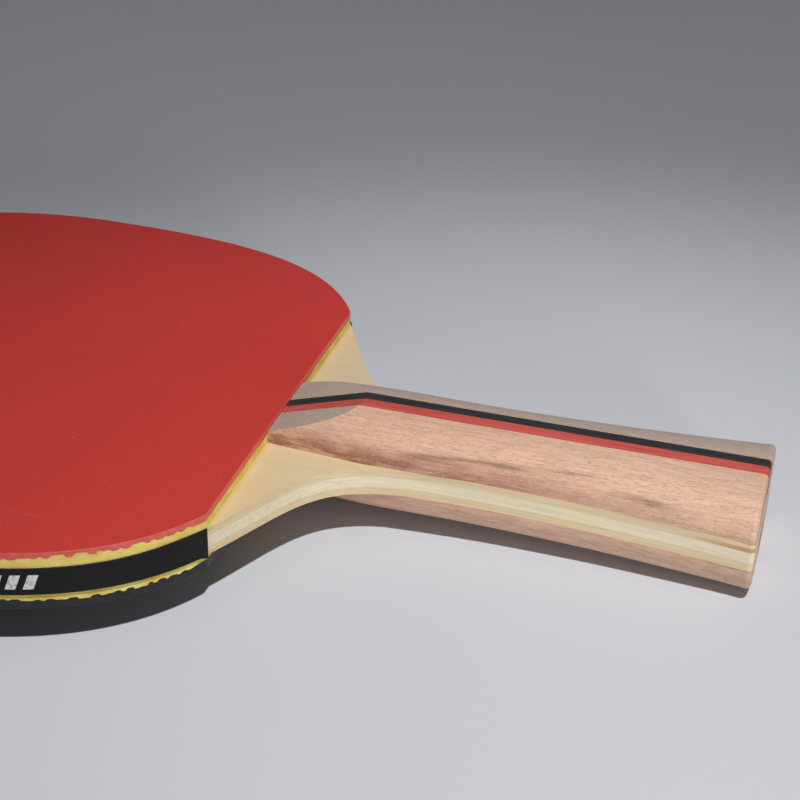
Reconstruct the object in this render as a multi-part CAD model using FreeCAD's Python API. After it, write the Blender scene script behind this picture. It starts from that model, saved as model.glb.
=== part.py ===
import FreeCAD, Part
import math
import os

from FreeCAD import Vector

# A table tennis paddle. Lengths are in millimetres.
# While drawing, X = 0 is the straight edge of the rubber, +X runs to the butt of the grip,
# and Z = 0 is the middle of the blade with the red rubber above it. The pieces are placed at export.

# Plan of the head
HEAD_LENGTH = 157.0           # straight edge of the rubber to the tip
HEAD_HALF_WIDTH = 74.5
WIDEST_X = -76.9              # where the head is widest
SHOULDER_HALF_WIDTH = 45.4    # half of the rubber's straight edge
SHOULDER_ANGLE = 61.5         # degrees between the outline and X at the shoulder
SHOULDER_PULL = 29.5          # how far the head's curve follows that angle
SIDE_PULL = 33.0              # how far the head's curve stays parallel to X
RUBBER_CORNER_RADIUS = 2.5

# Plan of the grip
NECK_HALF_WIDTH = 12.6
NECK_X = 39.6                 # where the grip is narrowest
WING_PULL = 24.1              # how far the wing's curve follows the shoulder angle
NECK_PULL = 29.1              # how far the wing's curve stays parallel to X
GRIP_LENGTH = 103.2
BUTT_HALF_WIDTH = 17.4
BUTT_RADIUS = 1.0             # rounding of the butt's rim

# Layers of the blade and the rubber
CORE_THICKNESS = 2.5
MEDIAL_THICKNESS = 1.0
FACE_THICKNESS = 0.8
RED_SPONGE_THICKNESS = 2.0
RED_TOPSHEET_THICKNESS = 1.4
BLACK_SPONGE_THICKNESS = 1.4
BLACK_TOPSHEET_THICKNESS = 2.0

# Edge tape round the head
TAPE_THICKNESS = 0.3
TAPE_TOP = 2.8                # from the middle of the blade
TAPE_BOTTOM = -3.3

# Handle scales
SCALE_HEIGHT = 7.95           # above the blade's face
SCALE_FRONT = (               # X and half width where the scale is narrower than the blade's wings
    (0.0, 11.3),
    (9.0, 12.1),
    (17.0, 12.8),
    (25.0, 13.1),
    (32.0, 12.9),
)
SCALE_REAR = (44.0, 58.0, 74.0, 90.0, GRIP_LENGTH)
FULLNESS = 0.61               # 0.55 makes each quarter of the section an ellipse, 1 a rectangle
LOWER_BUTT_FULLNESS = 0.81    # the lower scale grows squarer towards the butt
RAMP_END_X = 18.0             # the front of each scale slopes up to this crease
RAMP_FRONT_HEIGHT = 2.6       # height above the blade's face at the front of the slope
STRIP_WIDTH = 2.9             # red strip on one side of the middle, black on the other

# Derived sizes
BLADE_HALF = CORE_THICKNESS / 2 + MEDIAL_THICKNESS + FACE_THICKNESS
LOWEST_Z = -BLADE_HALF - SCALE_HEIGHT
MIDDLE_X = (GRIP_LENGTH - HEAD_LENGTH - TAPE_THICKNESS) / 2
PLACE = Vector(-MIDDLE_X, 0, -LOWEST_Z)
BIG = 400.0


def bezier(*poles):
    curve = Part.BezierCurve()
    curve.setPoles([Vector(x, y, 0) for x, y in poles])
    return curve


def head_curves(grow=0.0):
    """Half of the head's outline, from the tip to the shoulder, moved outwards by grow."""
    half_width = HEAD_HALF_WIDTH + grow
    ellipse = Part.Ellipse(Vector(WIDEST_X, 0, 0), HEAD_LENGTH + WIDEST_X + grow, half_width)
    tip = Part.ArcOfEllipse(ellipse, math.pi / 2, math.pi)
    angle = math.radians(SHOULDER_ANGLE)
    shoulder_x = grow * math.sin(angle)
    shoulder_y = SHOULDER_HALF_WIDTH + grow * math.cos(angle)
    side = bezier(
        (WIDEST_X, half_width),
        (WIDEST_X + SIDE_PULL, half_width),
        (shoulder_x - SHOULDER_PULL * math.cos(angle), shoulder_y + SHOULDER_PULL * math.sin(angle)),
        (shoulder_x, shoulder_y),
    )
    return [tip, side]


def grip_curves():
    """Half of the grip's outline, from the shoulder to the butt."""
    angle = math.radians(SHOULDER_ANGLE)
    wing = bezier(
        (0, SHOULDER_HALF_WIDTH),
        (WING_PULL * math.cos(angle), SHOULDER_HALF_WIDTH - WING_PULL * math.sin(angle)),
        (NECK_X - NECK_PULL, NECK_HALF_WIDTH),
        (NECK_X, NECK_HALF_WIDTH),
    )
    flare = bezier(
        (NECK_X, NECK_HALF_WIDTH),
        ((NECK_X + GRIP_LENGTH) / 2, NECK_HALF_WIDTH),
        (GRIP_LENGTH, BUTT_HALF_WIDTH),
    )
    return [wing, flare]


def both_halves(curves):
    """Edges along the curves and along their mirror image across Y = 0."""
    half = [curve.toShape() for curve in curves]
    return half + [edge.mirror(Vector(), Vector(0, 1, 0)) for edge in half]


def closed_wire(curves, end_x, end_half_width):
    """Both halves of an outline, closed by a straight line at end_x."""
    end = Part.makeLine(Vector(end_x, end_half_width, 0), Vector(end_x, -end_half_width, 0))
    return Part.Wire(Part.__sortEdges__(both_halves(curves) + [end]))


def prism(wire, bottom, top):
    face = Part.Face(wire)
    solid = face.extrude(Vector(0, 0, top - bottom))
    return solid.translated(Vector(0, 0, bottom))


def round_corners(solid, x, radius):
    """Rounds the upright edges of a prism that stand at the given x."""
    edges = [
        edge
        for edge in solid.Edges
        if all(abs(vertex.X - x) < 1e-4 for vertex in edge.Vertexes)
        and edge.BoundBox.ZLength > edge.BoundBox.YLength
    ]
    return solid.makeFillet(radius, edges)


def ply(bottom, top):
    wire = closed_wire(head_curves() + grip_curves(), GRIP_LENGTH, BUTT_HALF_WIDTH)
    return round_corners(prism(wire, bottom, top), GRIP_LENGTH, BUTT_RADIUS)


def blade_plies():
    medial_top = BLADE_HALF - FACE_THICKNESS
    core_top = medial_top - MEDIAL_THICKNESS
    return {
        "core_ply": ply(-core_top, core_top),
        "upper_medial_ply": ply(core_top, medial_top),
        "lower_medial_ply": ply(-medial_top, -core_top),
        "upper_face_ply": ply(medial_top, BLADE_HALF),
        "lower_face_ply": ply(-BLADE_HALF, -medial_top),
    }


def rubber_layer(bottom, top):
    wire = closed_wire(head_curves(), 0, SHOULDER_HALF_WIDTH)
    return round_corners(prism(wire, bottom, top), 0, RUBBER_CORNER_RADIUS)


def rubbers():
    red_joint = BLADE_HALF + RED_SPONGE_THICKNESS
    black_joint = -BLADE_HALF - BLACK_SPONGE_THICKNESS
    return {
        "red_sponge": rubber_layer(BLADE_HALF, red_joint),
        "red_topsheet": rubber_layer(red_joint, red_joint + RED_TOPSHEET_THICKNESS),
        "black_sponge": rubber_layer(black_joint, -BLADE_HALF),
        "black_topsheet": rubber_layer(black_joint - BLACK_TOPSHEET_THICKNESS, black_joint),
    }


def edge_tape():
    """A band round the head, square at its ends on the two shoulders."""
    inner = head_curves()
    outer = head_curves(TAPE_THICKNESS)
    end = Part.makeLine(inner[-1].EndPoint, outer[-1].EndPoint)
    other_end = end.mirror(Vector(), Vector(0, 1, 0))
    edges = both_halves(inner) + both_halves(outer) + [end, other_end]
    return prism(Part.Wire(Part.__sortEdges__(edges)), TAPE_BOTTOM, TAPE_TOP)


def grip_half_width(x):
    along = (x - NECK_X) / (GRIP_LENGTH - NECK_X)
    return NECK_HALF_WIDTH + (BUTT_HALF_WIDTH - NECK_HALF_WIDTH) * along**2


def section(x, half_width, fullness):
    """Outline of a scale across X: two quarter curves over a flat base on the blade."""
    base = BLADE_HALF
    top = base + SCALE_HEIGHT
    shoulder = base + fullness * SCALE_HEIGHT
    inset = fullness * half_width
    near = Part.BezierCurve()
    near.setPoles([
        Vector(x, -half_width, base),
        Vector(x, -half_width, shoulder),
        Vector(x, -inset, top),
        Vector(x, 0, top),
    ])
    far = Part.BezierCurve()
    far.setPoles([
        Vector(x, 0, top),
        Vector(x, inset, top),
        Vector(x, half_width, shoulder),
        Vector(x, half_width, base),
    ])
    foot = Part.makeLine(Vector(x, half_width, base), Vector(x, -half_width, base))
    return Part.Wire([near.toShape(), far.toShape(), foot])


def ramp():
    """The wedge cut away to leave the sloping front of a scale."""
    front = BLADE_HALF + RAMP_FRONT_HEIGHT
    slope = (SCALE_HEIGHT - RAMP_FRONT_HEIGHT) / RAMP_END_X
    corners = [
        Vector(-BIG / 2, -BIG / 2, front - slope * BIG / 2),
        Vector(BIG / 2, -BIG / 2, front + slope * BIG / 2),
        Vector(-BIG / 2, -BIG / 2, front + slope * BIG / 2),
    ]
    return Part.Face(Part.makePolygon(corners, True)).extrude(Vector(0, BIG, 0))


def scale_blank(butt_fullness):
    """A whole upper scale before it is divided into its strips."""
    widths = list(SCALE_FRONT) + [(x, grip_half_width(x)) for x in SCALE_REAR]
    wires = []
    for x, half_width in widths:
        fullness = FULLNESS + (butt_fullness - FULLNESS) * x / GRIP_LENGTH
        wires.append(section(x, half_width, fullness))
    blank = Part.makeLoft(wires, True)
    rim = [
        edge
        for edge in blank.Edges
        if edge.BoundBox.XLength < 1e-3
        and edge.BoundBox.XMin > GRIP_LENGTH - 1e-3
        and edge.BoundBox.ZLength > 1
    ]
    return blank.makeFillet(BUTT_RADIUS, rim).cut(ramp())


def slab(y_min, y_max):
    return Part.makeBox(BIG, y_max - y_min, BIG, Vector(-BIG / 2, y_min, -BIG / 2))


def scale_pieces(side, blank):
    parts = {
        "near_wood": slab(-BIG / 2, -STRIP_WIDTH),
        "red_strip": slab(-STRIP_WIDTH, 0),
        "black_strip": slab(0, STRIP_WIDTH),
        "far_wood": slab(STRIP_WIDTH, BIG / 2),
    }
    return {f"{side}_scale_{name}": blank.common(cut) for name, cut in parts.items()}


def export(name, shape):
    placed = shape.translated(PLACE)
    if placed.ShapeType != "Solid":
        placed = placed.Solids[0]
    placed.exportStep(f"parts/{name}.step")
    print(name, round(placed.Volume, 1), placed.isValid())


os.makedirs("parts", exist_ok=True)
upper_scale = scale_blank(FULLNESS)
lower_scale = scale_blank(LOWER_BUTT_FULLNESS).mirror(Vector(), Vector(0, 0, 1))
pieces = {
    **blade_plies(),
    **rubbers(),
    "edge_tape": edge_tape(),
    **scale_pieces("upper", upper_scale),
    **scale_pieces("lower", lower_scale),
}
for name, shape in pieces.items():
    export(name, shape)
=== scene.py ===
import math

import bmesh
import bpy
from mathutils import Matrix, Vector, noise


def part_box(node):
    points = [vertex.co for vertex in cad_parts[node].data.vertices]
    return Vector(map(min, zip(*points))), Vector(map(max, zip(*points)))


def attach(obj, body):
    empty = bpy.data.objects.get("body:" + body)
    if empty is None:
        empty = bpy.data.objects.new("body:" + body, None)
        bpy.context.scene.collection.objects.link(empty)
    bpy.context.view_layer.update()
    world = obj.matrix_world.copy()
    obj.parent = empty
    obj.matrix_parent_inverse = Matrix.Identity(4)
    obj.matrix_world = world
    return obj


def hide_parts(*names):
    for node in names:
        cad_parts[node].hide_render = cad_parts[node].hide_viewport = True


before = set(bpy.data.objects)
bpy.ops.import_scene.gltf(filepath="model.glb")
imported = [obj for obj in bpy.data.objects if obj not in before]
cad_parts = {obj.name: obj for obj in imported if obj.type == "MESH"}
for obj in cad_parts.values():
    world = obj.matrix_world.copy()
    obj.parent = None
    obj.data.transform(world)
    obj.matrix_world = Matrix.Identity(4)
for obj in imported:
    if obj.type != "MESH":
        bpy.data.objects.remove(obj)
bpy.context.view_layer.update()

MM = 0.001

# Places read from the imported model, in metres
RED_LOW, RED_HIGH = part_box("red_topsheet")
RED_SPONGE_LOW, RED_SPONGE_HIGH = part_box("red_sponge")
BLACK_LOW, BLACK_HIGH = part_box("black_topsheet")
BLACK_SPONGE_LOW, BLACK_SPONGE_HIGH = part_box("black_sponge")
CORE_LOW, CORE_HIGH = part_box("core_ply")
EDGE_X = RED_HIGH.x                       # straight edge of the rubber
TIP_X = RED_LOW.x
BUTT_X = CORE_HIGH.x
MIDDLE_Z = (CORE_LOW.z + CORE_HIGH.z) / 2

# The head's outline, as in the CAD model
HEAD_HALF_WIDTH = RED_HIGH.y
WIDEST_X = EDGE_X - 76.9 * MM
SHOULDER_HALF_WIDTH = 45.4 * MM
SHOULDER_ANGLE = math.radians(61.5)
SHOULDER_PULL = 29.5 * MM
SIDE_PULL = 33.0 * MM
CORNER_CUT = 0.63 * MM
OUTLINE_STEP = 0.3 * MM
CURVE_POINTS = 400                        # points on each curve before it is resampled
CORNER_POINTS = 8

# Edge tape
TAPE_STEP = 0.4 * MM
TAPE_TOP = 3.12 * MM                      # above the blade's middle
TAPE_BOTTOM = -3.05 * MM
TAPE_SKIN = 0.28 * MM
TAPE_CREASE = 0.12 * MM                   # its edges are pressed down over this height

# Plain bars printed on the tape
BAR_START = 25 * MM                       # first bar, behind the rubber's straight edge
BAR_GROUPS = 4
BARS_IN_GROUP = 3
BAR_GROUP_SPACING = 88 * MM
BAR_SPACING = 3.4 * MM
BAR_WIDTH = 2.0 * MM
BAR_SLANT = 1.1 * MM
BAR_HALF_HEIGHT = 1.6 * MM
BAR_COLUMNS = 5
BAR_STEP = 0.2 * MM
BAR_DEPTHS = (0.29 * MM, 0.325 * MM)      # the ink's two faces, out from the blade's rim

VEIN_FADE = 9 * MM                        # over which a vein of the wood begins and ends

# Rubber
SPONGE_RISE = 0.75 * MM                   # how far foam and glue fill the gaps between pimples
PIMPLE_PITCH = 2.5 * MM
PIMPLE_RADIUS = 0.85 * MM

# Stage
FLOOR_SLOPE = 0.035                       # the surface falls away under the head
SWELL_HEIGHT = 18.5 * MM                  # and rises again to meet its tip
SWELL_RADIUS = 62 * MM
FLOOR_HALF = 3.0
FLOOR_CELLS = 240
LAMP_AWAY = Vector((0.20, -0.29, 1.0)) * 1.5


def linear(red, green, blue):
    """A colour given as 0 to 255 display values, as the linear RGBA that nodes take."""
    def channel(value):
        value /= 255
        return value / 12.92 if value <= 0.04045 else ((value + 0.055) / 1.055) ** 2.4
    return (channel(red), channel(green), channel(blue), 1.0)


# ---------------------------------------------------------------- outline

def bezier_point(poles, t):
    a, b, c, d = poles
    s = 1 - t
    return a * s**3 + b * 3 * s * s * t + c * 3 * s * t * t + d * t**3


def half_outline():
    """Points from the tip to the straight edge's middle, on the +Y side."""
    tip_axis = WIDEST_X - TIP_X
    points = []
    for i in range(CURVE_POINTS):
        angle = math.pi - i / CURVE_POINTS * math.pi / 2
        x = WIDEST_X + tip_axis * math.cos(angle)
        points.append(Vector((x, HEAD_HALF_WIDTH * math.sin(angle))))
    cos, sin = math.cos(SHOULDER_ANGLE), math.sin(SHOULDER_ANGLE)
    shoulder = Vector((EDGE_X, SHOULDER_HALF_WIDTH))
    poles = (
        Vector((WIDEST_X, HEAD_HALF_WIDTH)),
        Vector((WIDEST_X + SIDE_PULL, HEAD_HALF_WIDTH)),
        shoulder + SHOULDER_PULL * Vector((-cos, sin)),
        shoulder,
    )
    points += [bezier_point(poles, i / CURVE_POINTS) for i in range(CURVE_POINTS - 3)]
    before = shoulder + CORNER_CUT * Vector((-cos, sin))
    after = shoulder - Vector((0, CORNER_CUT))
    for i in range(CORNER_POINTS + 1):
        t = i / CORNER_POINTS
        points.append(before * (1 - t) ** 2 + shoulder * 2 * t * (1 - t) + after * t * t)
    points.append(Vector((EDGE_X, 0)))
    return points


def resample(points, step):
    """Points evenly spaced along a line, both ends kept."""
    lengths = [0.0]
    for a, b in zip(points, points[1:]):
        lengths.append(lengths[-1] + (b - a).length)
    count = max(2, round(lengths[-1] / step))
    found, j = [], 0
    for i in range(count + 1):
        want = lengths[-1] * i / count
        while j < len(points) - 2 and lengths[j + 1] < want:
            j += 1
        span = lengths[j + 1] - lengths[j]
        t = (want - lengths[j]) / span if span else 0.0
        found.append(points[j].lerp(points[j + 1], min(max(t, 0.0), 1.0)))
    return found


def closed_outline():
    """The whole outline, from the middle of the straight edge round the -Y side and back."""
    half = resample(half_outline(), OUTLINE_STEP)
    near = [Vector((p.x, -p.y)) for p in reversed(half)]
    return near[:-1] + half[:-1]


def outward(points, closed=True):
    """The unit normal at each point of a line that runs clockwise seen from above."""
    normals = []
    last = len(points) - 1
    for i in range(len(points)):
        a = points[i - 1] if closed or i > 0 else points[0]
        b = points[(i + 1) % len(points)] if closed or i < last else points[last]
        run = (b - a).normalized()
        normals.append(Vector((-run.y, run.x)))
    return normals


# ---------------------------------------------------------------- mesh helpers

def new_object(name, bm, replaces):
    bmesh.ops.recalc_face_normals(bm, faces=bm.faces)
    mesh = bpy.data.meshes.new(name)
    bm.to_mesh(mesh)
    bm.free()
    piece = bpy.data.objects.new(name, mesh)
    bpy.context.scene.collection.objects.link(piece)
    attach(piece, "root")
    if replaces:
        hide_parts(replaces)
    return piece


def ring_stack(rings, closed=True):
    """A mesh through rings of points, each as long as the last. closed joins the last point to the first."""
    bm = bmesh.new()
    rows = [[bm.verts.new(p) for p in ring] for ring in rings]
    count = len(rows[0])
    for lower, upper in zip(rows, rows[1:]):
        for i in range(count if closed else count - 1):
            k = (i + 1) % count
            bm.faces.new((lower[i], lower[k], upper[k], upper[i]))
    return bm, rows


def smooth_step(low, high, value):
    t = min(max((value - low) / (high - low), 0.0), 1.0)
    return t * t * (3 - 2 * t)


def pimple_cover(x, y, seed):
    """1 inside a pimple of the moulded field and 0 between pimples."""
    row_step = PIMPLE_PITCH * math.sqrt(3) / 2
    nearest = 1.0
    for row in (math.floor(y / row_step), math.floor(y / row_step) + 1):
        shift = PIMPLE_PITCH / 2 if row % 2 else 0.0
        column = round((x - shift) / PIMPLE_PITCH)
        centre = Vector((column * PIMPLE_PITCH + shift, row * row_step))
        nearest = min(nearest, (Vector((x, y)) - centre).length)
    wander = 0.22 * MM * noise.noise(Vector((x, y, seed)) * 900)
    return 1 - smooth_step(PIMPLE_RADIUS - 0.25 * MM, PIMPLE_RADIUS + 0.25 * MM, nearest + wander)


def plain_margin(x):
    """1 in the strip along the straight edge, which is moulded without pimples."""
    return smooth_step(EDGE_X - 2.5 * MM, EDGE_X - 0.8 * MM, x)


def layer_rings(outline, normals, rows):
    """Rings for (inset, height) rows. Each value is a number or a function of the point's number."""
    rings = []
    for inset, height in rows:
        ring = []
        for i, (p, n) in enumerate(zip(outline, normals)):
            away = inset(i) if callable(inset) else inset
            z = height(i) if callable(height) else height
            q = p - n * away
            ring.append(Vector((q.x, q.y, z)))
        rings.append(ring)
    return rings


def capped(rings):
    bm, rows = ring_stack(rings)
    bm.faces.new(rows[0])
    bm.faces.new(rows[-1])
    return bm


def rough_cut(outline, amount, seed):
    """How far a knife-cut edge wanders in and out at each point."""
    return [amount * noise.noise(Vector((p.x, p.y, seed)) * 700) for p in outline]


def make_rubber(name, sponge, sheet, side, seed):
    """A sponge and its topsheet. side is 1 above the blade and -1 below it."""
    outline = closed_outline()
    normals = outward(outline)
    foot, joint = (sponge[0].z, sponge[1].z) if side > 0 else (sponge[1].z, sponge[0].z)
    face = sheet[1].z if side > 0 else sheet[0].z
    covers = [max(pimple_cover(p.x, p.y, seed), plain_margin(p.x)) for p in outline]
    wander = [0.28 * MM * noise.noise(Vector((p.x, p.y, seed + 3)) * 130) for p in outline]
    depth = [0.9 * abs(noise.noise(Vector((p.x, p.y, seed + 7)) * 85)) + 0.35 for p in outline]
    cut = rough_cut(outline, 0.07 * MM, seed)

    def boundary(i):
        rise = (1 - covers[i]) * depth[i] * SPONGE_RISE
        return joint + side * (rise - 0.1 * MM) + wander[i]

    def edge(i):
        return 0.1 * MM + cut[i]

    inner = 2 * MM
    sponge_rows = [
        (0.15 * MM, foot),
        (edge, foot + side * 0.1 * MM),
        (edge, boundary),
        (inner, joint),
    ]
    sheet_rows = [
        (inner, joint),
        (lambda i: edge(i) - 0.03 * MM, boundary),
        (lambda i: edge(i) * 0.5, face - side * 0.16 * MM),
        (0.1 * MM, face - side * 0.04 * MM),
        (0.24 * MM, face),
    ]
    sponge_bm = capped(layer_rings(outline, normals, sponge_rows))
    sheet_bm = capped(layer_rings(outline, normals, sheet_rows))
    made_sponge = new_object(f"{name}_sponge_foam", sponge_bm, f"{name}_sponge")
    made_sheet = new_object(f"{name}_pimpled_sheet", sheet_bm, f"{name}_topsheet")
    return made_sponge, made_sheet


def tape_line():
    """The middle of the tape's run, from the -Y shoulder round the tip to the +Y shoulder."""
    shoulder = Vector((EDGE_X, SHOULDER_HALF_WIDTH))
    half = resample(half_outline(), OUTLINE_STEP)
    half = [p for p in half if p.x < EDGE_X - 0.3 * MM or p.y > SHOULDER_HALF_WIDTH]
    half = [p for p in half if p.y > 1e-6 or p.x < WIDEST_X]
    near = [Vector((p.x, -p.y)) for p in reversed(half)]
    ends = [Vector((shoulder.x, -shoulder.y))], [shoulder]
    return resample(ends[0] + near + half[1:] + ends[1], TAPE_STEP)


def make_tape():
    """The woven tape round the head, its two edges wandering a little as it was pressed on by hand."""
    line = tape_line()
    normals = outward(line, closed=False)
    total = len(line) - 1

    def from_end(i):
        return min(i, total - i) * TAPE_STEP

    def waver(i, amount, seed):
        return amount * noise.noise(Vector((line[i].x, line[i].y, seed)) * 60)

    def top(i):
        lift = 0.25 * MM * math.exp(-(((from_end(i) - 6 * MM) / (7 * MM)) ** 2))
        return MIDDLE_Z + TAPE_TOP + lift + waver(i, 0.10 * MM, 5)

    def bottom(i):
        hang = 0.7 * MM * math.exp(-((from_end(i) / (1.2 * MM)) ** 2))
        return MIDDLE_Z + TAPE_BOTTOM - hang + waver(i, 0.12 * MM, 9)

    def at(i, out, z):
        q = line[i] + normals[i] * out
        return Vector((q.x, q.y, z))

    profile = []
    for i in range(total + 1):
        low, high = bottom(i), top(i)
        profile.append([
            at(i, 0.0, low + 0.05 * MM),
            at(i, TAPE_SKIN * 0.6, low),
            at(i, TAPE_SKIN, low + TAPE_CREASE),
            at(i, TAPE_SKIN + 0.02 * MM, (low + high) / 2),
            at(i, TAPE_SKIN, high - TAPE_CREASE),
            at(i, TAPE_SKIN * 0.6, high),
            at(i, 0.0, high - 0.05 * MM),
        ])
    return new_object("woven_edge_tape", capped(profile), "edge_tape")


def slanted_bar(bm, line, normals, start):
    """One bar printed on the tape, from a point of its run onwards."""
    columns = []
    for k in range(BAR_COLUMNS + 1):
        column = []
        for lean, z in ((0.0, -BAR_HALF_HEIGHT), (BAR_SLANT, BAR_HALF_HEIGHT)):
            i = start + round((k / BAR_COLUMNS * BAR_WIDTH + BAR_SLANT - lean) / BAR_STEP)
            for out in BAR_DEPTHS:
                q = line[i] + normals[i] * out
                column.append(bm.verts.new((q.x, q.y, MIDDLE_Z + z)))
        columns.append(column)
    for a, b in zip(columns, columns[1:]):
        for low, high in ((0, 1), (1, 3), (3, 2), (2, 0)):
            bm.faces.new((a[low], a[high], b[high], b[low]))
    for end in (columns[0], columns[-1]):
        bm.faces.new((end[0], end[1], end[3], end[2]))


def make_tape_print():
    """Plain slanted bars printed on the tape in groups, a stand-in for any printed marks."""
    half = resample(half_outline(), BAR_STEP)
    line = [Vector((p.x, -p.y)) for p in reversed(half)] + half[1:]
    line = [p for p in line if p.x < EDGE_X - 0.5 * MM]
    normals = outward(line, closed=False)
    near_side = [i for i, p in enumerate(line) if p.y < 0]
    first = min(near_side, key=lambda i: abs(line[i].x - (EDGE_X - BAR_START)))
    longest = round((BAR_WIDTH + BAR_SLANT) / BAR_STEP) + 1
    bm = bmesh.new()
    for group in range(BAR_GROUPS):
        for bar in range(BARS_IN_GROUP):
            start = first + round((group * BAR_GROUP_SPACING + bar * BAR_SPACING) / BAR_STEP)
            if start + longest < len(line):
                slanted_bar(bm, line, normals, start)
    return new_object("tape_print_bars", bm, None)


# ---------------------------------------------------------------- material helpers

class Shader:
    """A material's node tree, with short ways to add and join nodes."""

    def __init__(self, name):
        self.material = bpy.data.materials.new(name)
        self.material.use_nodes = True
        self.tree = self.material.node_tree
        self.bsdf = self.tree.nodes["Principled BSDF"]
        self.coords = self.tree.nodes.new("ShaderNodeTexCoord").outputs["Object"]

    def node(self, kind, values=None, **settings):
        made = self.tree.nodes.new(kind)
        for key, value in settings.items():
            setattr(made, key, value)
        for key, value in (values or {}).items():
            if isinstance(value, bpy.types.NodeSocket):
                self.tree.links.new(value, made.inputs[key])
            else:
                made.inputs[key].default_value = value
        return made

    def stretched(self, scale):
        return self.node("ShaderNodeMapping", {"Vector": self.coords, "Scale": scale}).outputs["Vector"]

    def noise(self, scale, detail=3.0, rough=0.5, distortion=0.0):
        """Noise whose scale is given per metre along X, Y and Z."""
        values = {"Vector": self.stretched(scale), "Scale": 1.0, "Detail": detail,
                  "Roughness": rough, "Distortion": distortion}
        return self.node("ShaderNodeTexNoise", values).outputs["Fac"]

    def ramp(self, fac, *stops):
        made = self.node("ShaderNodeValToRGB", {"Fac": fac})
        elements = made.color_ramp.elements
        while len(elements) < len(stops):
            elements.new(0.5)
        for element, (place, colour) in zip(elements, stops):
            element.position = place
            element.color = colour if isinstance(colour, tuple) else (colour, colour, colour, 1.0)
        return made.outputs["Color"]

    def mix(self, fac, a, b, blend="MIX"):
        made = self.node("ShaderNodeMix", data_type="RGBA", blend_type=blend)
        for key, value in ((0, fac), (6, a), (7, b)):
            if isinstance(value, bpy.types.NodeSocket):
                self.tree.links.new(value, made.inputs[key])
            else:
                made.inputs[key].default_value = value
        return made.outputs[2]

    def math(self, operation, a, b=0.0, c=0.5):
        made = self.node("ShaderNodeMath", operation=operation)
        for key, value in ((0, a), (1, b), (2, c)):
            if isinstance(value, bpy.types.NodeSocket):
                self.tree.links.new(value, made.inputs[key])
            else:
                made.inputs[key].default_value = value
        return made.outputs[0]

    def band(self, value, low, high):
        """0 below low, 1 above high and smooth between."""
        made = self.node("ShaderNodeMapRange", {"Value": value, "From Min": low, "From Max": high},
                         interpolation_type="SMOOTHSTEP")
        return made.outputs["Result"]

    def outside(self, value, low, high):
        """1 below low, 0 above high and smooth between."""
        return self.math("SUBTRACT", 1.0, self.band(value, low, high))

    def times(self, *factors):
        product = factors[0]
        for factor in factors[1:]:
            product = self.math("MULTIPLY", product, factor)
        return product

    def axis(self, name):
        return self.node("ShaderNodeSeparateXYZ", {"Vector": self.coords}).outputs[name]

    def facing(self, name):
        """How far the surface faces along an axis, from -1 to 1."""
        normal = self.node("ShaderNodeNewGeometry").outputs["Normal"]
        return self.node("ShaderNodeSeparateXYZ", {"Vector": normal}).outputs[name]

    def finish(self, colour, roughness, bump=None, bump_mm=0.02, **sockets):
        self.tree.links.new(colour, self.bsdf.inputs["Base Color"])
        if isinstance(roughness, bpy.types.NodeSocket):
            self.tree.links.new(roughness, self.bsdf.inputs["Roughness"])
        else:
            self.bsdf.inputs["Roughness"].default_value = roughness
        if bump is not None:
            made = self.node("ShaderNodeBump", {"Height": bump, "Distance": bump_mm * MM, "Strength": 1.0})
            self.tree.links.new(made.outputs["Normal"], self.bsdf.inputs["Normal"])
        for key, value in sockets.items():
            self.bsdf.inputs[key.replace("_", " ")].default_value = value
        return self.material


def dark_vein(s, height, start, end, level, climb):
    """A dark vein of the handle wood. Its ends lie behind the rubber, and it starts at a level and climbs."""
    along = s.math("SUBTRACT", s.axis("X"), EDGE_X + start)
    line = s.math("MULTIPLY_ADD", along, climb / (end - start), level)
    wander = s.math("MULTIPLY_ADD", s.noise((50, 90, 90), 2), 1.6 * MM, -0.8 * MM)
    distance = s.math("ABSOLUTE", s.math("SUBTRACT", s.math("ADD", height, wander), line))
    near = s.outside(distance, 0.15 * MM, 0.95 * MM)
    begins = s.band(along, 0.0, VEIN_FADE)
    ends = s.outside(along, end - start - VEIN_FADE, end - start)
    broken = s.ramp(s.noise((45, 1300, 1300), 3, 0.6), (0.42, 0.05), (0.60, 0.75))
    return s.times(near, broken, begins, ends)


def heartwood(s, height):
    """Darker wood along the foot of the upper scale, strongest near the head."""
    low = s.outside(height, 4.2 * MM, 8.6 * MM)
    above = s.band(height, 0.0, 2.0 * MM)
    front = s.outside(s.axis("X"), EDGE_X + 24 * MM, EDGE_X + 80 * MM)
    mottle = s.ramp(s.noise((90, 560, 460), 4, 0.7, 0.5), (0.38, 0.25), (0.54, 1.0))
    return s.times(low, above, front, mottle)


def painted_grey_sheen(s):
    """Painted grey sheen and shade on the ramp and the far half of the top, the faces turned away from the
    front light.
    """
    ramp_face = s.band(s.math("MULTIPLY", s.facing("X"), -1.0), 0.12, 0.24)
    far_face = s.times(s.band(s.facing("Y"), -0.02, 0.16), s.band(s.facing("Z"), 0.2, 0.6))
    return s.math("MAXIMUM", ramp_face, far_face)


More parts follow.
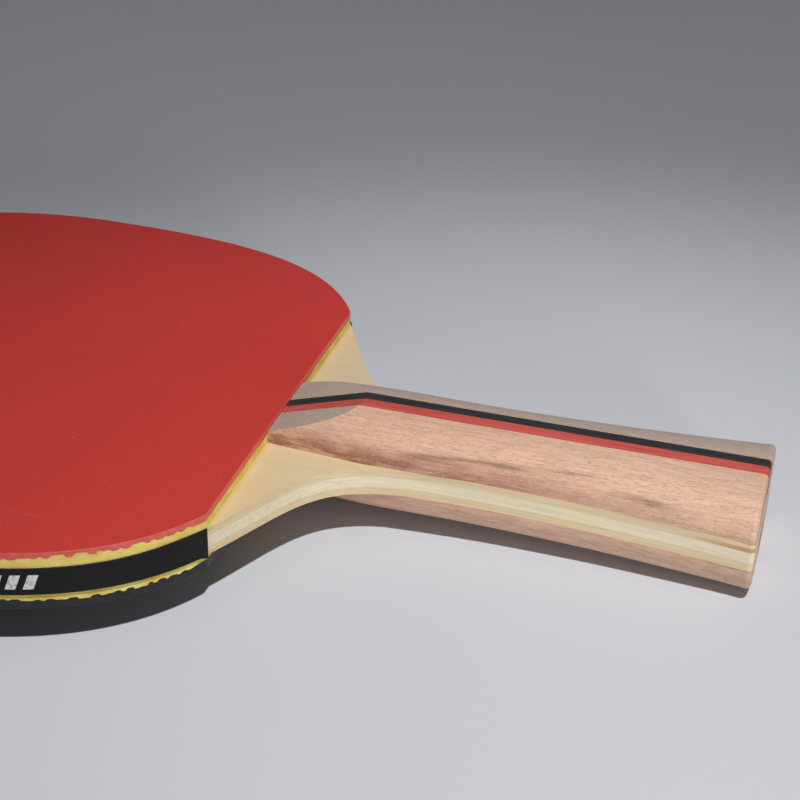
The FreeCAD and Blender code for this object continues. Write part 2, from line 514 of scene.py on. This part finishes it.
def handle_wood():
    s = Shader("handle_wood")
    figure = s.noise((9, 110, 110), 4, 0.55, 0.6)
    fibre = s.noise((120, 1900, 1900), 4, 0.65)
    colour = s.ramp(figure, (0.32, linear(196, 150, 126)), (0.50, linear(212, 168, 143)),
                    (0.70, linear(221, 181, 156)))
    paler = s.times(s.band(s.axis("X"), EDGE_X + 35 * MM, EDGE_X + 95 * MM), 0.45)
    colour = s.mix(paler, colour, linear(212, 180, 154))
    colour = s.mix(s.ramp(fibre, (0.40, 0.30), (0.60, 0.0)), colour, linear(150, 106, 84))
    height = s.math("SUBTRACT", s.axis("Z"), MIDDLE_Z)
    colour = s.mix(s.times(heartwood(s, height), 0.85), colour, linear(140, 84, 62))
    long_vein = dark_vein(s, height, 26 * MM, 74 * MM, 5.9 * MM, 3.0 * MM)
    short_vein = dark_vein(s, height, 70 * MM, 90 * MM, 6.0 * MM, 0.4 * MM)
    side_grain = s.outside(s.facing("X"), 0.4, 0.8)
    veins = s.times(s.math("MAXIMUM", long_vein, short_vein), side_grain)
    colour = s.mix(veins, colour, linear(108, 82, 68))
    # painted grey sheen and shade on the faces turned away from the front light
    colour = s.mix(s.times(painted_grey_sheen(s), 0.74), colour, linear(172, 160, 150))
    pores = s.ramp(s.noise((700, 3800, 3800), 2, 0.5), (0.33, 1.0), (0.42, 0.0))
    colour = s.mix(s.times(pores, 0.26), colour, linear(134, 96, 76))
    flecks = s.ramp(s.noise((1500, 3200, 3200), 2, 0.4), (0.60, 0.0), (0.70, 0.22))
    colour = s.mix(flecks, colour, linear(238, 212, 190))
    rough = s.ramp(figure, (0.3, 0.58), (0.7, 0.46))
    return s.finish(colour, rough, s.math("SUBTRACT", fibre, pores), 0.04)


def dyed_veneer(name, deep, main, pale):
    s = Shader(name)
    fibre = s.noise((60, 1700, 1700), 5, 0.6)
    cloud = s.noise((14, 160, 160), 3, 0.5)
    colour = s.ramp(fibre, (0.30, deep), (0.52, main), (0.78, pale))
    colour = s.mix(s.ramp(cloud, (0.35, 0.35), (0.65, 0.0)), colour, deep)
    rough = s.ramp(fibre, (0.3, 0.62), (0.7, 0.45))
    return s.finish(colour, rough, fibre, 0.03)


def ply_wood(name, light, main, dark, scale, contrast=0.5):
    s = Shader(name)
    fibre = s.noise(scale, 5, 0.6)
    cloud = s.noise((18, 60, 200), 3, 0.5, 0.5)
    colour = s.ramp(fibre, (0.5 - contrast / 2, dark), (0.5, main), (0.5 + contrast / 2, light))
    colour = s.mix(s.ramp(cloud, (0.4, 0.25), (0.65, 0.0)), colour, dark)
    rough = s.ramp(fibre, (0.3, 0.7), (0.7, 0.55))
    return s, colour, rough, fibre


def core_wood():
    light, main, dark = linear(238, 228, 202), linear(230, 217, 186), linear(214, 197, 162)
    s, colour, rough, fibre = ply_wood("core_wood", light, main, dark, (30, 700, 1700))
    return s.finish(colour, rough, fibre, 0.02)


def medial_veneer():
    light, main, dark = linear(226, 213, 176), linear(217, 201, 163), linear(202, 183, 142)
    s, colour, rough, fibre = ply_wood("medial_veneer", light, main, dark, (60, 700, 2200))
    stain = s.band(s.axis("X"), BUTT_X - 17 * MM, BUTT_X - 2 * MM)
    above = s.band(s.axis("Z"), MIDDLE_Z, MIDDLE_Z + 1 * MM)
    patchy = s.ramp(s.noise((60, 200, 400)), (0.3, 0.3), (0.6, 0.9))
    colour = s.mix(s.times(stain, above, patchy), colour, linear(190, 126, 80))
    return s.finish(colour, rough, fibre, 0.02)


def face_veneer():
    light, main, dark = linear(230, 208, 172), linear(222, 197, 157), linear(209, 181, 139)
    s, colour, rough, fibre = ply_wood("face_veneer", light, main, dark, (24, 620, 1300))
    near_rubber = s.outside(s.axis("X"), EDGE_X, EDGE_X + 9 * MM)
    tint = s.times(near_rubber, s.ramp(s.noise((90, 60, 60), 3), (0.35, 0.0), (0.65, 0.40)))
    colour = s.mix(tint, colour, linear(224, 178, 112))
    # painted shade: faces turned upwards are darkened, as they catch more of the key light
    colour = s.mix(s.times(s.band(s.facing("Z"), 0.5, 0.9), 0.6), colour, linear(206, 186, 148))
    glue = s.outside(s.axis("X"), EDGE_X + 0.2 * MM, EDGE_X + 1.1 * MM)
    colour = s.mix(s.times(glue, 0.6), colour, linear(196, 172, 96))
    return s.finish(colour, rough, fibre, 0.025)


def foam():
    s = Shader("sponge_foam")
    cells = s.node("ShaderNodeTexVoronoi", {"Vector": s.coords, "Scale": 3200.0}).outputs["Distance"]
    cloud = s.noise((150, 150, 300), 3)
    colour = s.ramp(cloud, (0.3, linear(214, 186, 78)), (0.5, linear(236, 213, 112)),
                    (0.7, linear(244, 227, 142)))
    colour = s.mix(s.ramp(cells, (0.0, 0.28), (0.35, 0.0)), colour, linear(160, 124, 44))
    return s.finish(colour, 0.85, cells, 0.06)


def rubber(name, main, deep, edge, speck):
    """A smooth sheet with dust and fine scuffs, paler where it was cut."""
    s = Shader(name)
    cloud = s.noise((22, 22, 22), 3, 0.5, 0.3)
    colour = s.ramp(cloud, (0.3, deep), (0.7, main))
    dust = s.noise((1500, 1500, 1500), 2, 0.4)
    colour = s.mix(s.times(s.ramp(dust, (0.68, 0.0), (0.76, 1.0)), 0.35), colour, speck)
    scuffs = s.noise((30, 900, 30), 3, 0.5, 1.2)
    colour = s.mix(s.times(s.ramp(scuffs, (0.66, 0.0), (0.74, 1.0)), 0.10), colour, speck)
    flat = s.math("ABSOLUTE", s.facing("Z"))
    cut_colour = s.mix(s.ramp(s.noise((500, 500, 900), 3), (0.3, 0.0), (0.7, 1.0)), edge[0], edge[1])
    colour = s.mix(s.band(flat, 0.35, 0.75), cut_colour, colour)
    grain = s.noise((2600, 2600, 2600), 2, 0.5)
    rough = s.ramp(cloud, (0.3, 0.50), (0.7, 0.40))
    return s.finish(colour, rough, grain, 0.004)


def tape_weave():
    s = Shader("edge_tape_weave")
    threads = s.noise((1300, 1300, 2600), 2, 0.5)
    cloud = s.noise((60, 60, 120), 3)
    colour = s.ramp(threads, (0.3, linear(14, 14, 15)), (0.7, linear(24, 24, 25)))
    colour = s.mix(s.ramp(cloud, (0.4, 0.0), (0.7, 0.35)), colour, linear(34, 34, 35))
    return s.finish(colour, 0.55, threads, 0.012, Specular_IOR_Level=0.22)


def tape_ink():
    s = Shader("tape_ink")
    patchy = s.noise((1500, 1500, 1500), 2, 0.5)
    colour = s.ramp(patchy, (0.30, linear(170, 170, 170)), (0.50, linear(222, 222, 222)))
    return s.finish(colour, 0.5, patchy, 0.004)


def paper():
    s = Shader("backdrop_paper")
    tooth = s.noise((420, 420, 420), 3)
    cloud = s.noise((3, 3, 3), 2)
    colour = s.ramp(cloud, (0.3, linear(194, 196, 201)), (0.7, linear(199, 201, 206)))
    return s.finish(colour, 0.9, tooth, 0.03)


# ---------------------------------------------------------------- stage

def make_floor(material):
    """A pale surface that touches the paddle at the butt and at the head's tip."""
    contact = Vector((BUTT_X - 1.0 * MM, 0))
    swell = Vector((TIP_X - 52 * MM, 0))
    bm = bmesh.new()
    bmesh.ops.create_grid(bm, x_segments=FLOOR_CELLS, y_segments=FLOOR_CELLS, size=1.0)
    for v in bm.verts:
        # cells are small near the paddle and large far away
        x = FLOOR_HALF * math.copysign(abs(v.co.x) ** 2.6, v.co.x)
        y = FLOOR_HALF * math.copysign(abs(v.co.y) ** 2.6, v.co.y)
        level = FLOOR_SLOPE * (x - contact.x)
        from_swell = (Vector((x, y)) - swell).length_squared
        rise = SWELL_HEIGHT * math.exp(-from_swell / (2 * SWELL_RADIUS**2))
        v.co = (x, y, level + rise - 0.02 * MM)
    mesh = bpy.data.meshes.new("floor")
    bm.to_mesh(mesh)
    bm.free()
    for polygon in mesh.polygons:
        polygon.use_smooth = True
    floor = bpy.data.objects.new("floor", mesh)
    bpy.context.scene.collection.objects.link(floor)
    floor.data.materials.append(material)


def aim(light, place, target):
    light.location = place
    light.rotation_mode = "QUATERNION"
    light.rotation_quaternion = (Vector(target) - Vector(place)).to_track_quat("-Z", "Y")


def add_light(name, kind, place, target, power, **settings):
    data = bpy.data.lights.new(name, kind)
    data.energy = power
    for key, value in settings.items():
        setattr(data, key, value)
    light = bpy.data.objects.new(name, data)
    bpy.context.scene.collection.objects.link(light)
    aim(light, place, target)
    return light


def make_lights():
    middle = Vector((EDGE_X + 70 * MM, -35 * MM, 0))
    lamp = middle + LAMP_AWAY
    add_light("key_wide", "SPOT", lamp, middle, 38.0,
              spot_size=math.radians(75), spot_blend=1.0, shadow_soft_size=0.03)
    bright_spot = middle + Vector((15 * MM, -20 * MM, 0))
    add_light("key_narrow", "SPOT", lamp, bright_spot, 58.0,
              spot_size=math.radians(19), spot_blend=1.0, shadow_soft_size=0.03)
    handle = Vector((EDGE_X + 70 * MM, -15 * MM, 6 * MM))
    front = Vector((0.40, -0.60, 0.16))
    near_light = add_light("near_side", "SPOT", handle + front, handle, 11.5,
                           spot_size=math.radians(19), spot_blend=1.0, shadow_soft_size=0.09)
    near_light.data.color = (1.0, 0.98, 0.96)
    world = bpy.data.worlds.new("studio")
    bpy.context.scene.world = world
    world.use_nodes = True
    background = world.node_tree.nodes["Background"]
    background.inputs["Color"].default_value = linear(196, 208, 232)
    background.inputs["Strength"].default_value = 0.07


def make_camera():
    edge = Vector((EDGE_X, 0, MIDDLE_Z))
    eye = edge + Vector((112.48, -304.82, 195.48)) * MM
    target = edge + Vector((19.90, 19.95, 0)) * MM
    roll = math.radians(1.49)
    data = bpy.data.cameras.new("camera")
    data.lens = 78.27
    data.sensor_width = 36.0
    data.clip_start = 0.02
    camera = bpy.data.objects.new("camera", data)
    bpy.context.scene.collection.objects.link(camera)
    forward = (target - eye).normalized()
    right = forward.cross(Vector((0, 0, 1))).normalized()
    up = right.cross(forward)
    rolled_right = right * math.cos(roll) + up * math.sin(roll)
    rolled_up = up * math.cos(roll) - right * math.sin(roll)
    turn = Matrix((rolled_right, rolled_up, -forward)).transposed()
    camera.matrix_world = Matrix.Translation(eye) @ turn.to_4x4()
    bpy.context.scene.camera = camera


# ---------------------------------------------------------------- build

def paint_node(name, material):
    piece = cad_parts[name]
    piece.data.materials.clear()
    piece.data.materials.append(material)


red_sponge, red_sheet = make_rubber(
    "red", (RED_SPONGE_LOW, RED_SPONGE_HIGH), (RED_LOW, RED_HIGH), 1, 11)
black_sponge, black_sheet = make_rubber(
    "black", (BLACK_SPONGE_LOW, BLACK_SPONGE_HIGH), (BLACK_LOW, BLACK_HIGH), -1, 23)
tape = make_tape()
tape_print = make_tape_print()

foam_material = foam()
red_sponge.data.materials.append(foam_material)
black_sponge.data.materials.append(foam_material)
red_sheet.data.materials.append(rubber(
    "red_rubber", linear(198, 61, 54), linear(189, 56, 49),
    (linear(228, 104, 92), linear(212, 84, 74)), linear(222, 124, 114)))
black_sheet.data.materials.append(rubber(
    "black_rubber", linear(40, 40, 42), linear(30, 30, 32),
    (linear(18, 18, 19), linear(32, 32, 33)), linear(110, 110, 112)))
tape.data.materials.append(tape_weave())
tape_print.data.materials.append(tape_ink())

wood = handle_wood()
red_strip = dyed_veneer("red_veneer", linear(168, 62, 54), linear(196, 86, 76), linear(214, 108, 96))
black_strip = dyed_veneer("black_veneer", linear(34, 34, 35), linear(48, 48, 50), linear(68, 68, 70))
for side in ("upper", "lower"):
    paint_node(f"{side}_scale_near_wood", wood)
    paint_node(f"{side}_scale_far_wood", wood)
    paint_node(f"{side}_scale_red_strip", red_strip)
    paint_node(f"{side}_scale_black_strip", black_strip)
paint_node("core_ply", core_wood())
medial = medial_veneer()
face = face_veneer()
for side in ("upper", "lower"):
    paint_node(f"{side}_medial_ply", medial)
    paint_node(f"{side}_face_ply", face)

make_floor(paper())
make_lights()
make_camera()
bpy.context.scene.view_settings.view_transform = "Standard"
